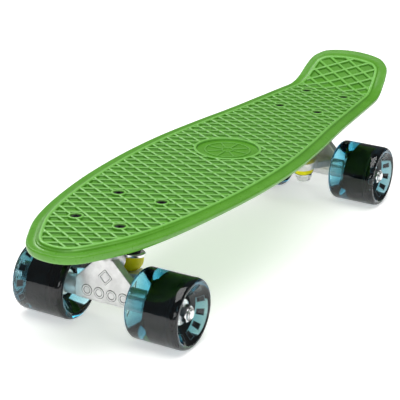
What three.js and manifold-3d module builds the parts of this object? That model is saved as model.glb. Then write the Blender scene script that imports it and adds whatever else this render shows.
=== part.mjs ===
// A small moulded-plastic cruiser skateboard: one deck, two trucks, four wheels and their hardware.
// Millimetres. +X points to the nose, +Y to the board's left, +Z up. The origin is on the ground,
// under the middle of the board.
import * as THREE from "three";
import { mergeVertices } from "three/addons/utils/BufferGeometryUtils.js";
import Module from "manifold-3d";

const wasm = await Module();
wasm.setup();

// ---- driving dimensions ----
const GAP = 0.3; // between pieces that touch

// deck
const LENGTH = 574;
const DECK_TOP = 100; // height of the raised bead and of the bolt bosses
const FLOOR_DEPTH = 2.2; // the standing surface lies this far below the bead
const SKIN_UNDERSIDE = 6.5; // underside of the skin, below the bead
const LIP_DEPTH = 3.6; // middle of the rounded lip, below the bead
const TAIL_REACH = 4.8; // the level of the lip that reaches furthest back at the tail, below the bead
const PAD_FACE = 88; // where the trucks bolt on
const KICK_START = -230.5; // where the tail starts to bend up
const KICK_RADIUS = 35;
const KICK_ANGLE = THREE.MathUtils.degToRad(37);
const TAIL_HALF_WIDTH = 45.4;
const TAIL_CORNER = 25;
const TAIL_CROWN = 2.4; // the tail's end curves out this far in the middle
const NOSE_DROP = 0.5; // the rim is deeper round the nose by this share
const OUTLINE_HALF_SAMPLES = 40;
const MEDALLION_X = -1.5;
const MEDALLION_RADIUS = 31;
const MEDALLION_RING = 2.6;
const BOSS_RADIUS = 6.6; // raised round each deck bolt
const COUNTERBORE_RADIUS = 4.7;
const COUNTERBORE_DEPTH = 4.8;

// trucks
const WHEELBASE = 389;
const PATTERN_X = 63.5; // bolt spacing along the board
const PATTERN_Y = 41.3; // bolt spacing across the board
const PATTERN_SETBACK = 12; // bolt pattern centre, inboard of the axle
const PLATE_LENGTH = 80;
const PLATE_WIDTH = 54;
const PLATE_THICK = 5;
const BOLT_RADIUS = 2.3;
const BOLT_HOLE_RADIUS = 2.9;
const BOLT_HEAD_RADIUS = 4.3;
const BOLT_END = 75.6; // height of the deck bolts' lower ends
const AXLE_HEIGHT = 30;
const AXLE_RADIUS = 3.95;
const AXLE_HALF = 76;
const HANGER_HALF = 42;
const JOURNAL_RADIUS = 8.5;
const PLATE_HALF = 29; // half the width of the hanger's flat face
const PIVOT = new THREE.Vector3(11.5, 0, 74); // from the ground under the axle, +X outboard
const RING = new THREE.Vector3(-24.5, 0, 38.5);
const RING_HALF_HEIGHT = 4;
const RING_RADIUS = 14.5;
const SCOOP_RADIUS = 12.8; // the hanger is hollowed this far round the lower bushing
const KINGPIN_LEAN = THREE.MathUtils.degToRad(10);
const KINGPIN_RADIUS = 4.7;
const BUSHING_RADIUS = 13;
const UPPER_BUSHING = 13.3;
const LOWER_BUSHING = 6.5;
const LOWER_BUSHING_RADIUS = 10.5;
const NOSE_RADIUS = 6;

// wheels
const WHEEL_RADIUS = 30;
const WHEEL_WIDTH = 48.5;
const WHEEL_Y = 53.75; // middle of the wheel's width
const BEARING_RADIUS = 11;
const BEARING_WIDTH = 7;
const BEARING_BORE = 4.05;
const INNER_BEARING = -10.75; // bearings' inboard faces, from the wheel's middle
const OUTER_BEARING = 6.25;
const FLANGE_RADIUS = 21.5; // of the core, inside the urethane
const FLANGE_INNER = -6.75; // the flange's two sides, from the wheel's middle
const FLANGE_OUTER = 12.65;
const BARREL_RADIUS = 13.5;
const WHEEL_SIDES = 36;
const SIDES = 16; // of the smaller round pieces

// ---- materials ----
const paint = (color, roughness, metalness) =>
  new THREE.MeshStandardMaterial({ color, roughness, metalness });
const GREEN = paint(0x5cc53a, 0.4, 0);
const TEAL = paint(0x2a8f9c, 0.2, 0);
const BLACK = paint(0x15171a, 0.45, 0);
const YELLOW = paint(0xd8d020, 0.5, 0);
const ALUMINIUM = paint(0xb9bcc0, 0.35, 0.9);
const STEEL = paint(0xc6c8cc, 0.25, 1);

// ---- solids and booleans ----
function solid(geometry) {
  const bare = geometry.index ? geometry.toNonIndexed() : geometry.clone();
  bare.deleteAttribute("normal");
  bare.deleteAttribute("uv");
  const merged = mergeVertices(bare, 1e-4);
  return new wasm.Manifold(
    new wasm.Mesh({
      numProp: 3,
      vertProperties: merged.attributes.position.array,
      triVerts: new Uint32Array(merged.index.array),
    }),
  );
}

function geometryOf(manifold) {
  const mesh = manifold.getMesh();
  const geometry = new THREE.BufferGeometry();
  geometry.setAttribute("position", new THREE.BufferAttribute(mesh.vertProperties, 3));
  geometry.setIndex(new THREE.BufferAttribute(mesh.triVerts, 1));
  const flat = geometry.toNonIndexed();
  flat.computeVertexNormals();
  return flat;
}

function join(parts, cuts = []) {
  let whole = parts.map(solid).reduce((a, b) => a.add(b));
  for (const cut of cuts) whole = whole.subtract(solid(cut));
  return geometryOf(whole);
}

// ---- plain shapes ----
// A closed profile of [radius, height] points, turned about +Y.
function turned(profile, sides, start = 0) {
  const points = profile.map(([r, h]) => new THREE.Vector2(r, h));
  const loop = points.concat(points[0]);
  if (THREE.ShapeUtils.area(points) < 0) loop.reverse();
  return new THREE.LatheGeometry(loop, sides, start);
}

// The same about +Z, with the profile's height along +Z.
function turnedUp(profile, sides) {
  return turned(profile, sides).rotateX(Math.PI / 2);
}

function rod(radius, low, high, sides) {
  return turnedUp([[0, low], [radius, low], [radius, high], [0, high]], sides);
}

function hexagon(acrossFlats, low, high) {
  return rod(acrossFlats / Math.sqrt(3), low, high, 6);
}

// A hole's facets lie outside its nominal radius, so that a round shaft of that radius clears them.
function openRadius(radius, sides) {
  return radius / Math.cos(Math.PI / sides);
}

function roundedPlate(length, width, corner, low, high) {
  const x = length / 2 - corner;
  const y = width / 2 - corner;
  const shape = new THREE.Shape();
  shape.absarc(x, y, corner, 0, Math.PI / 2);
  shape.absarc(-x, y, corner, Math.PI / 2, Math.PI);
  shape.absarc(-x, -y, corner, Math.PI, 1.5 * Math.PI);
  shape.absarc(x, -y, corner, 1.5 * Math.PI, 2 * Math.PI);
  const options = { depth: high - low, bevelEnabled: false, curveSegments: 4 };
  return new THREE.ExtrudeGeometry(shape, options).translate(0, 0, low);
}

function boltPlaces() {
  const places = [];
  for (const x of [-PATTERN_X / 2, PATTERN_X / 2])
    for (const y of [-PATTERN_Y / 2, PATTERN_Y / 2]) places.push([x, y]);
  return places;
}

// ---- deck ----
// s runs along the deck's curved middle line, w across it, h up from the bead's level.
function bend(s, w, h) {
  const past = KICK_START - s;
  const turn = Math.min(Math.max(past, 0) / KICK_RADIUS, KICK_ANGLE);
  const straight = Math.max(past - KICK_RADIUS * KICK_ANGLE, 0);
  const x = Math.max(s, KICK_START) - KICK_RADIUS * Math.sin(turn) - straight * Math.cos(turn);
  const z = DECK_TOP + KICK_RADIUS * (1 - Math.cos(turn)) + straight * Math.sin(turn);
  return new THREE.Vector3(x + h * Math.sin(turn), w, z + h * Math.cos(turn));
}

// The tail's end along s, which puts its rearmost point at -LENGTH / 2.
function tailEnd() {
  const bendRun = KICK_RADIUS * Math.sin(KICK_ANGLE);
  const lipRun = TAIL_REACH * Math.sin(KICK_ANGLE);
  const straightRun = LENGTH / 2 + KICK_START - bendRun - lipRun;
  return KICK_START - KICK_RADIUS * KICK_ANGLE - straightRun / Math.cos(KICK_ANGLE);
}

// The outline of the deck at the middle of its lip, as a closed curve that starts at the nose.
function outlineCurve() {
  const end = tailEnd();
  const side = [
    [284, 14.5], [276, 24.8], [257, 36.4], [233, 47.9], [205, 56.5], [170, 63.8], [120, 70.7],
    [60, 74.6], [0, 73.9], [-60, 68.4], [-120, 60.7], [-180, 54.8], [-225, 50.4],
    [end + 38, TAIL_HALF_WIDTH + 1.2],
  ];
  for (const degrees of [0, 30, 60, 80]) {
    const a = THREE.MathUtils.degToRad(degrees);
    const s = end + TAIL_CROWN + TAIL_CORNER * (1 - Math.sin(a));
    side.push([s, TAIL_HALF_WIDTH - TAIL_CORNER * (1 - Math.cos(a))]);
  }
  side.push([end + TAIL_CROWN / 5, 11]);
  const whole = [[LENGTH / 2, 0], ...side, [end, 0], ...side.map(([s, w]) => [s, -w]).reverse()];
  return new THREE.CatmullRomCurve3(whole.map(([s, w]) => new THREE.Vector3(s, w, 0)), true);
}

// The deck's section as [inset from the outline, height], from the standing surface out over the
// bead, down the sloping rim, round the lip and back in to the underside of the skin.
const RIM_SECTION = [
  [13.4, -FLOOR_DEPTH], [12.4, -0.3], [11.3, 0], [10.2, -0.3], [9.5, -1],
  [3.2, -1.6], [0.9, -2.1], [0, -LIP_DEPTH], [0.9, -6], [3, -7.3],
  [6, -7.3], [8, -SKIN_UNDERSIDE],
];

// The rim outside the bead drops further towards the nose.
function rimHeight(inset, h, s) {
  if (inset > 7.9) return h;
  const t = THREE.MathUtils.smoothstep(s, 110, 270);
  return h * (1 + NOSE_DROP * t);
}

function deckSkin() {
  const count = 2 * OUTLINE_HALF_SAMPLES;
  const outline = outlineCurve().getSpacedPoints(count).slice(0, count);
  const inward = outline.map((_, i) => {
    const along = outline[(i + 1) % count].clone().sub(outline[(i + count - 1) % count]).normalize();
    return new THREE.Vector2(-along.y, along.x);
  });
  const corners = RIM_SECTION.flatMap(([inset, h]) =>
    outline.map((p, i) => {
      const [s, w] = [p.x + inset * inward[i].x, p.y + inset * inward[i].y];
      return bend(s, w, rimHeight(inset, h, p.x));
    }),
  );
  const faces = [];
  for (let ring = 0; ring + 1 < RIM_SECTION.length; ring++)
    for (let i = 0; i < count; i++) {
      const next = (i + 1) % count;
      const [a, b] = [ring * count + i, ring * count + next];
      faces.push([a, a + count, b + count], [a, b + count, b]);
    }
  const under = (RIM_SECTION.length - 1) * count;
  for (let i = 0; i < OUTLINE_HALF_SAMPLES; i++) {
    const [left, leftNext] = [i, i + 1];
    const [right, rightNext] = [(count - i) % count, count - i - 1];
    faces.push([left, leftNext, rightNext], [left, rightNext, right]);
    faces.push([under + left, under + rightNext, under + leftNext]);
    faces.push([under + left, under + right, under + rightNext]);
  }
  const whole = faces.filter(([a, b, c]) => a !== b && b !== c && c !== a);
  const geometry = new THREE.BufferGeometry().setFromPoints(corners);
  geometry.setIndex(whole.flat());
  return geometry;
}

function deckGeometry() {
  const floor = DECK_TOP - FLOOR_DEPTH;
  const ringTop = DECK_TOP - 0.2;
  const inner = MEDALLION_RADIUS - MEDALLION_RING;
  const outer = MEDALLION_RADIUS;
  const ring = [[inner, floor - 1], [outer, floor - 1], [outer, ringTop], [inner, ringTop]];
  const parts = [deckSkin(), turnedUp(ring, 32).translate(MEDALLION_X, 0, 0)];
  const cuts = [];
  for (const end of [1, -1]) {
    const centre = end * (WHEELBASE / 2 - PATTERN_SETBACK);
    const padTop = DECK_TOP - SKIN_UNDERSIDE + 1;
    const pad = roundedPlate(PLATE_LENGTH + 4, PLATE_WIDTH + 4, 8, PAD_FACE, padTop);
    parts.push(pad.translate(centre, 0, 0));
    for (const [x, y] of boltPlaces()) {
      const boss = rod(BOSS_RADIUS, floor - 1, DECK_TOP, SIDES);
      const recess = rod(COUNTERBORE_RADIUS, DECK_TOP - COUNTERBORE_DEPTH, DECK_TOP + 1, SIDES);
      const hole = rod(BOLT_HOLE_RADIUS, PAD_FACE - 1, DECK_TOP - 4, 8);
      parts.push(boss.translate(centre + x, y, 0));
      cuts.push(recess.translate(centre + x, y, 0), hole.translate(centre + x, y, 0));
    }
  }
  return join(parts, cuts);
}

// ---- truck pieces, in a frame on the ground under the axle, +X outboard ----
const alongKingpin = new THREE.Matrix4().makeRotationY(-KINGPIN_LEAN).setPosition(RING);
const steerAngle = Math.atan2(PIVOT.x - RING.x, PIVOT.z - RING.z);
const alongPivot = new THREE.Matrix4().makeRotationY(steerAngle).setPosition(PIVOT);

// Heights along the kingpin from the middle of the hanger's ring.
const UPPER_WASHER = RING_HALF_HEIGHT + GAP + UPPER_BUSHING + GAP;
const CUP_WASHER = 2.2;
const SEAT = UPPER_WASHER + CUP_WASHER + GAP;
const LOWER_WASHER = -RING_HALF_HEIGHT - GAP - LOWER_BUSHING - GAP;
const KINGPIN_NUT = LOWER_WASHER - 1.5 - GAP;
const KINGPIN_HEAD = 40.2;

// Depths of the pivot cup along the steering axis from the pivot point.
const CUP_MOUTH = -2;
const CUP_END = 8;
const CUP_RADIUS = 8.4;
const CUP_WALL = 2;
const HOUSING_RADIUS = 10.4;
const HOUSING_BACK = 13;

function baseplateGeometry() {
  const top = PAD_FACE - GAP;
  const plate = roundedPlate(PLATE_LENGTH, PLATE_WIDTH, 7, top - PLATE_THICK, top);
  plate.translate(-PATTERN_SETBACK, 0, 0);
  const seat = [[0, SEAT], [9.8, SEAT], [14, 38], [14, 46], [0, 46]];
  const wide = HOUSING_RADIUS + 0.8;
  const housing = [
    [0, CUP_MOUTH], [HOUSING_RADIUS, CUP_MOUTH], [wide, 3], [wide, HOUSING_BACK], [0, HOUSING_BACK],
  ];
  const rib = new THREE.BoxGeometry(24, 6, 10).translate(-10, 0, top - 7);
  const parts = [plate, turnedUp(seat, SIDES).applyMatrix4(alongKingpin)];
  parts.push(turnedUp(housing, SIDES).applyMatrix4(alongPivot), rib);
  const above = new THREE.BoxGeometry(120, 80, 20).translate(0, 0, top + 10);
  const bore = rod(openRadius(KINGPIN_RADIUS + GAP, SIDES), SEAT - 1, 60, SIDES);
  const headroom = rod(9.6, KINGPIN_HEAD - GAP, 60, SIDES);
  const cup = rod(openRadius(CUP_RADIUS + GAP, SIDES), CUP_MOUTH - 1, CUP_END + GAP, SIDES);
  const cuts = [above, bore.applyMatrix4(alongKingpin), headroom.applyMatrix4(alongKingpin)];
  cuts.push(cup.applyMatrix4(alongPivot));
  for (const [x, y] of boltPlaces()) {
    const hole = rod(BOLT_HOLE_RADIUS, top - PLATE_THICK - 2, top + 1, 8);
    cuts.push(hole.translate(x - PATTERN_SETBACK, y, 0));
  }
  return join(parts, cuts);
}

function pivotCupGeometry() {
  const hollow = CUP_RADIUS - CUP_WALL;
  const end = CUP_END - CUP_WALL;
  const profile = [
    [hollow, CUP_MOUTH], [CUP_RADIUS, CUP_MOUTH], [CUP_RADIUS, CUP_END], [0, CUP_END], [0, end],
    [hollow - 2, end], [hollow, end - 2],
  ];
  return turnedUp(profile, SIDES).applyMatrix4(alongPivot);
}

// The hanger: a casting with a flat three-cornered face, journals for the axle, an arm back to the
// ring that the bushings grip, and a nose that turns in the pivot cup.
function hangerGeometry() {
  const face = new THREE.Shape();
  face.moveTo(-PLATE_HALF, 24.3).lineTo(PLATE_HALF, 24.3).lineTo(PLATE_HALF, 41).lineTo(6.5, 63.5);
  face.lineTo(0, 60).lineTo(-6.5, 63.5).lineTo(-PLATE_HALF, 41).closePath();
  const plate = new THREE.ExtrudeGeometry(face, { depth: 8, bevelEnabled: false });
  plate.rotateX(Math.PI / 2).rotateZ(Math.PI / 2).translate(0.5, 0, 0);
  const section = new THREE.Shape();
  section.moveTo(8.4, 24.4).lineTo(2, 20.5).lineTo(-6, 22).lineTo(-9.5, 29);
  section.lineTo(-7, 38).lineTo(8.4, 40).closePath();
  const beam = new THREE.ExtrudeGeometry(section, { depth: 2 * PLATE_HALF, bevelEnabled: false });
  beam.rotateX(Math.PI / 2).translate(0, PLATE_HALF, 0);
  const journal = rod(JOURNAL_RADIUS, -HANGER_HALF, HANGER_HALF, 20).rotateX(Math.PI / 2);
  journal.translate(0, 0, AXLE_HEIGHT);
  const nose = [
    [0, -26], [9.5, -26], [7.5, -13], [NOSE_RADIUS, -6], [NOSE_RADIUS, 2.5], [4.4, 5], [0, 5.4],
  ];
  const stem = turnedUp(nose, SIDES).applyMatrix4(alongPivot);
  const ring = rod(RING_RADIUS, -RING_HALF_HEIGHT, RING_HALF_HEIGHT, 24).applyMatrix4(alongKingpin);
  const arm = new THREE.Shape();
  arm.moveTo(RING.x, -12).lineTo(2, -28).lineTo(2, 28).lineTo(RING.x, 12).closePath();
  const web = new THREE.ExtrudeGeometry(arm, { depth: 7, bevelEnabled: false }).translate(0, 0, 32.5);
  const bore = rod(openRadius(AXLE_RADIUS + GAP, SIDES), -HANGER_HALF - 1, HANGER_HALF + 1, SIDES);
  bore.rotateX(Math.PI / 2).translate(0, 0, AXLE_HEIGHT);
  const half = RING_HALF_HEIGHT;
  const cuts = [bore, rod(7.2, -half - 4, half + 4, SIDES).applyMatrix4(alongKingpin)];
  cuts.push(rod(RING_RADIUS, half, 12, 24).applyMatrix4(alongKingpin));
  cuts.push(rod(SCOOP_RADIUS, -26, -half, 24).applyMatrix4(alongKingpin));
  return join([plate, beam, journal, stem, web, ring], cuts);
}

function axleGeometry() {
  const profile = [[0, -AXLE_HALF], [3.2, -AXLE_HALF], [AXLE_RADIUS, -AXLE_HALF + 0.8],
    [AXLE_RADIUS, AXLE_HALF - 0.8], [3.2, AXLE_HALF], [0, AXLE_HALF]];
  return turned(profile, SIDES).translate(0, 0, AXLE_HEIGHT);
}

function kingpinGeometry() {
  const bottom = KINGPIN_NUT - 7.4;
  const profile = [[0, bottom], [KINGPIN_RADIUS - 0.8, bottom], [KINGPIN_RADIUS, bottom + 0.8],
    [KINGPIN_RADIUS, KINGPIN_HEAD], [9, KINGPIN_HEAD], [9, KINGPIN_HEAD + 5.5], [0, KINGPIN_HEAD + 5.5]];
  return turnedUp(profile, SIDES).applyMatrix4(alongKingpin);
}

function kingpinNutGeometry() {
  const low = KINGPIN_NUT - 7;
  const cut = rod(openRadius(KINGPIN_RADIUS + GAP, SIDES), low - 1, KINGPIN_NUT + 1, SIDES);
  const collar = turnedUp([[0, low], [5.8, low], [7.1, low + 2], [7.1, low + 4], [0, low + 4]], SIDES);
  return join([hexagon(14.3, low + 3, KINGPIN_NUT), collar], [cut]).applyMatrix4(alongKingpin);
}

// A ring on the kingpin whose lower edge draws in by taper over the given height.
function ringGeometry(outer, low, high, taper, height) {
  const inner = openRadius(KINGPIN_RADIUS + GAP, SIDES);
  const profile = [
    [inner, low], [outer - taper, low], [outer, low + height], [outer, high], [inner, high],
  ];
  return turnedUp(profile, SIDES).applyMatrix4(alongKingpin);
}

// A disc over the upper bushing, with a rim that holds the bushing from outside.
function cupWasherGeometry() {
  const inner = openRadius(KINGPIN_RADIUS + GAP, SIDES);
  const [face, back] = [UPPER_WASHER, UPPER_WASHER + CUP_WASHER];
  const reach = BUSHING_RADIUS + GAP;
  const profile = [[inner, face], [reach, face], [reach, face - 1.2], [reach + 0.9, face - 1.2],
    [reach + 0.9, back - 1], [reach, back], [inner, back]];
  return turnedUp(profile, SIDES).applyMatrix4(alongKingpin);
}

function axleNutGeometry(side) {
  const low = 68.2;
  const nut = join([hexagon(12.7, low, low + 6.8)], [rod(AXLE_RADIUS + GAP, low - 1, low + 8, SIDES)]);
  nut.rotateX(-Math.PI / 2).rotateZ(side > 0 ? 0 : Math.PI);
  return nut.translate(0, 0, AXLE_HEIGHT);
}

// ---- wheel pieces, about +Y, with the outer face towards +Y ----
function tyreGeometry() {
  const half = WHEEL_WIDTH / 2;
  const tread = openRadius(WHEEL_RADIUS, WHEEL_SIDES);
  const [inner, flange] = [BARREL_RADIUS + 0.2, FLANGE_RADIUS + 0.2];
  const [low, high] = [INNER_BEARING, OUTER_BEARING + BEARING_WIDTH];
  const profile = [
    [inner, low], [25, -half], [27.6, -half], [tread, -half + 2.6],
    [tread, half - 4.2], [28.8, half - 1.2], [26, half], [inner, high],
    [inner, FLANGE_OUTER + 0.2], [flange, FLANGE_OUTER + 0.2],
    [flange, FLANGE_INNER - 0.2], [inner, FLANGE_INNER - 0.2],
  ];
  return turned(profile, WHEEL_SIDES, Math.PI / WHEEL_SIDES);
}

function coreGeometry() {
  const seat = openRadius(BEARING_RADIUS + 0.1, SIDES);
  const [low, high] = [INNER_BEARING, OUTER_BEARING + BEARING_WIDTH];
  const innerShoulder = INNER_BEARING + BEARING_WIDTH + 0.2;
  const outerShoulder = OUTER_BEARING - 0.2;
  const profile = [
    [seat, low], [BARREL_RADIUS, low], [BARREL_RADIUS, FLANGE_INNER], [FLANGE_RADIUS, FLANGE_INNER],
    [FLANGE_RADIUS, FLANGE_OUTER], [BARREL_RADIUS, FLANGE_OUTER], [BARREL_RADIUS, high], [seat, high],
    [seat, outerShoulder], [9.3, outerShoulder], [9.3, innerShoulder], [seat, innerShoulder],
  ];
  return turned(profile, SIDES);
}

function bearingGeometry(face) {
  const bore = openRadius(BEARING_BORE, SIDES);
  const profile = [[bore, face], [BEARING_RADIUS, face], [BEARING_RADIUS, face + BEARING_WIDTH],
    [bore, face + BEARING_WIDTH]];
  return turned(profile, SIDES);
}

// ---- deck hardware ----
function boltGeometry() {
  const seat = DECK_TOP - COUNTERBORE_DEPTH + GAP;
  const profile = [
    [0, BOLT_END], [BOLT_RADIUS, BOLT_END], [BOLT_RADIUS, seat], [BOLT_HEAD_RADIUS, seat],
    [BOLT_HEAD_RADIUS, seat + 3.2], [BOLT_HEAD_RADIUS - 1, seat + 3.8], [0, seat + 4],
  ];
  return turnedUp(profile, 12);
}

function lockNutGeometry() {
  const top = PAD_FACE - 2 * GAP - PLATE_THICK;
  return join([hexagon(9.5, top - 5, top)], [rod(2.7, top - 6, top + 1, 8)]);
}

// ---- assembly ----
function piece(name, geometry, material) {
  const mesh = new THREE.Mesh(geometry, material.clone());
  mesh.name = name;
  return mesh;
}

function wheel(name) {
  const group = new THREE.Group();
  group.add(piece(`${name}_tyre`, tyreGeometry(), TEAL));
  group.add(piece(`${name}_core`, coreGeometry(), BLACK));
  group.add(piece(`${name}_bearing_inner`, bearingGeometry(INNER_BEARING), STEEL));
  group.add(piece(`${name}_bearing_outer`, bearingGeometry(OUTER_BEARING), STEEL));
  return group;
}

function kingpinStack(end) {
  const upper = [RING_HALF_HEIGHT + GAP, RING_HALF_HEIGHT + GAP + UPPER_BUSHING];
  const lower = [-RING_HALF_HEIGHT - GAP - LOWER_BUSHING, -RING_HALF_HEIGHT - GAP];
  return [
    piece(`${end}_kingpin`, kingpinGeometry(), STEEL),
    piece(`${end}_kingpin_nut`, kingpinNutGeometry(), STEEL),
    piece(`${end}_bushing_upper`, ringGeometry(BUSHING_RADIUS, ...upper, 4, 5), YELLOW),
    piece(`${end}_bushing_lower`, ringGeometry(LOWER_BUSHING_RADIUS, ...lower, 1, 2), YELLOW),
    piece(`${end}_washer_upper`, cupWasherGeometry(), STEEL),
    piece(`${end}_washer_lower`, ringGeometry(9.6, LOWER_WASHER - 1.5, LOWER_WASHER, 0.4, 0.4), STEEL),
  ];
}

function truck(end) {
  const group = new THREE.Group();
  group.add(piece(`${end}_baseplate`, baseplateGeometry(), BLACK));
  group.add(piece(`${end}_pivot_cup`, pivotCupGeometry(), BLACK));
  group.add(piece(`${end}_hanger`, hangerGeometry(), ALUMINIUM));
  group.add(piece(`${end}_axle`, axleGeometry(), STEEL));
  group.add(...kingpinStack(end));
  for (const side of [1, -1]) {
    // The rear truck faces backwards, so its +Y is the board's right.
    const left = end === "front" ? side > 0 : side < 0;
    const name = `${end}_${left ? "left" : "right"}`;
    group.add(piece(`${name}_axle_nut`, axleNutGeometry(side), STEEL));
    const turning = wheel(`${name}_wheel`);
    turning.position.set(0, side * WHEEL_Y, AXLE_HEIGHT);
    turning.rotation.z = side > 0 ? 0 : Math.PI;
    group.add(turning);
  }
  boltPlaces().forEach(([x, y], i) => {
    const bolt = piece(`${end}_deck_bolt_${i + 1}`, boltGeometry(), BLACK);
    const nut = piece(`${end}_deck_nut_${i + 1}`, lockNutGeometry(), STEEL);
    for (const part of [bolt, nut]) part.position.set(x - PATTERN_SETBACK, y, 0);
    group.add(bolt, nut);
  });
  return group;
}

const skateboard = new THREE.Group();
skateboard.add(piece("deck", deckGeometry(), GREEN));
const front = truck("front");
front.position.x = WHEELBASE / 2;
const rear = truck("rear");
rear.position.x = -WHEELBASE / 2;
rear.rotation.z = Math.PI;
skateboard.add(front, rear);

export default skateboard;
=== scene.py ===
import math

import bmesh
import bpy
from mathutils import Matrix, Vector


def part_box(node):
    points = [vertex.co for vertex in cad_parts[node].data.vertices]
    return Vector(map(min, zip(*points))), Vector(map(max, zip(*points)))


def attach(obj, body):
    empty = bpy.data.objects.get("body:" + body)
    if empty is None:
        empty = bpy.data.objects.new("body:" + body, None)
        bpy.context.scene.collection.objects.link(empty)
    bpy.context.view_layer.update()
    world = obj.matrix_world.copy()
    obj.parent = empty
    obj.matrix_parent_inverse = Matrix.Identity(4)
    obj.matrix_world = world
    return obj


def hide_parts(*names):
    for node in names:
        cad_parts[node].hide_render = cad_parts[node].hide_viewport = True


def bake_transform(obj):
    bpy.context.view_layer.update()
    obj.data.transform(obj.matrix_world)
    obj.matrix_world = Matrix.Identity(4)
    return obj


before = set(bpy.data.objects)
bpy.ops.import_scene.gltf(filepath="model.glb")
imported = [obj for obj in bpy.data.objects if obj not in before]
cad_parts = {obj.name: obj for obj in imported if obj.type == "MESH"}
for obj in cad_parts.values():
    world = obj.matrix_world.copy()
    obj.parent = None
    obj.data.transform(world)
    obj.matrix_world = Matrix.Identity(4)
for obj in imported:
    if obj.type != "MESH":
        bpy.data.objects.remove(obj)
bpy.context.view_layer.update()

# Shapes are drawn in millimetres and scaled when a piece is finished.
MM = 0.001
FINE = 96  # sides of the large round pieces
SMALL = 48  # sides of the small round pieces

# ---------------------------------------------------------------- deck
LENGTH = 574.0
DECK_TOP = 100.0
FLOOR = -2.2  # heights are from the raised bead's crest
RIB_TOP = -0.25
SKIN_UNDERSIDE = -6.5
TAIL_REACH = 4.8
PAD_FACE = 88.0
KICK_START = -230.5
KICK_RADIUS = 35.0
KICK_ANGLE = math.radians(37)
TAIL_HALF_WIDTH = 45.4
TAIL_CORNER = 25.0
TAIL_CROWN = 2.4
NOSE_DROP = 0.5
OUTLINE_SAMPLES = 360
MEDALLION = Vector((-1.5, 0.0, 0.0))
MEDALLION_RADIUS = 31.0
MEDALLION_RING = 2.6
MEDALLION_INNER = MEDALLION_RADIUS - MEDALLION_RING
ON_MEDALLION = Matrix.Translation(MEDALLION + Vector((0, 0, DECK_TOP)))
RIB_PITCH = 12.7  # along the board
RIB_ANGLE = math.radians(59)
RIB_HALF = 1.6
RIB_SLICE = 2.4  # length of the short pieces that follow the curve of the deck
POCKET_INSET = 11.6  # the ribs end under the bead
STIFFENER_INSET = 9.5
STIFFENER_BOTTOM = -10.2
STIFFENER_SLICE = 12.0
BOSS_RADIUS = 6.6
COUNTERBORE = 4.7
COUNTERBORE_DEPTH = 4.8
BOLT_HOLE = 2.9
PATTERN_X, PATTERN_Y = 63.5, 41.3
PATTERN_SETBACK = 12.0
BOLT_RADIUS = 2.3
BOLT_END = 75.6
BOLT_SEAT = 95.5
BOLT_HEAD = 4.3
BOLT_TOP = 99.45

# ---------------------------------------------------------------- trucks
PIVOT = Vector((11.5, 0, 74))  # from the ground under the axle, +X outboard
RING = Vector((-24.5, 0, 38.5))
KINGPIN_LEAN = math.radians(10)
AXLE_HEIGHT = 30.0
AXLE_HALF = 76.0
AXLE_RADIUS = 3.95
KINGPIN_RADIUS = 4.7
PLATE_LENGTH, PLATE_WIDTH, PLATE_THICK = 80.0, 54.0, 5.0
PLATE_TOP = 87.7
PLATE_HALF = 29.0
HANGER_HALF = 42.0
STEER = math.atan2(PIVOT.x - RING.x, PIVOT.z - RING.z)
ALONG_KINGPIN = Matrix.Translation(RING) @ Matrix.Rotation(-KINGPIN_LEAN, 4, "Y")
ALONG_PIVOT = Matrix.Translation(PIVOT) @ Matrix.Rotation(STEER, 4, "Y")


# ---------------------------------------------------------------- mesh tools
def smoothstep(value, low, high):
    t = min(max((value - low) / (high - low), 0), 1)
    return t * t * (3 - 2 * t)


def softened(points, steps=4):
    """Rounds each corner (x, y, reach) of a closed outline; a corner of (x, y) stays sharp."""
    outline = []
    for i, point in enumerate(points):
        corner = Vector(point[:2])
        reach = point[2] if len(point) > 2 else 0
        if reach <= 0:
            outline.append(corner)
            continue
        before = Vector(points[i - 1][:2]) - corner
        after = Vector(points[(i + 1) % len(points)][:2]) - corner
        start = corner + before.normalized() * min(reach, 0.49 * before.length)
        end = corner + after.normalized() * min(reach, 0.49 * after.length)
        for k in range(steps + 1):
            t = k / steps
            outline.append(start * (1 - t) ** 2 + corner * 2 * t * (1 - t) + end * t * t)
    return outline


def closed_mesh(name, corners, faces):
    """An object with the given corners and faces, turned to face out."""
    bm = bmesh.new()
    placed = [bm.verts.new(corner) for corner in corners]
    for face in faces:
        if len(set(face)) > 2:
            bm.faces.new([placed[i] for i in dict.fromkeys(face)])
    bmesh.ops.remove_doubles(bm, verts=bm.verts, dist=1e-4)
    bmesh.ops.recalc_face_normals(bm, faces=bm.faces)
    mesh = bpy.data.meshes.new(name)
    bm.to_mesh(mesh)
    bm.free()
    made = bpy.data.objects.new(name, mesh)
    bpy.context.scene.collection.objects.link(made)
    return made


def placed(made, matrix):
    made.data.transform(matrix)
    return made


def turned(name, profile, sides=FINE):
    """A solid of revolution about Z from a closed outline of (radius, height)."""
    corners, rings = [], []
    for r, h in profile:
        if r < 1e-6:
            rings.append([len(corners)] * sides)
            corners.append((0, 0, h))
            continue
        rings.append([len(corners) + k for k in range(sides)])
        for k in range(sides):
            a = 2 * math.pi * k / sides
            corners.append((r * math.cos(a), r * math.sin(a), h))
    faces = []
    for i, ring in enumerate(rings):
        after = rings[(i + 1) % len(rings)]
        if ring[0] == ring[-1] and after[0] == after[-1]:
            continue
        for k in range(sides):
            m = (k + 1) % sides
            faces.append([ring[k], ring[m], after[m], after[k]])
    return closed_mesh(name, corners, faces)


def rod(name, radius, low, high, sides=SMALL):
    return turned(name, [(0, low), (radius, low), (radius, high), (0, high)], sides)


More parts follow.
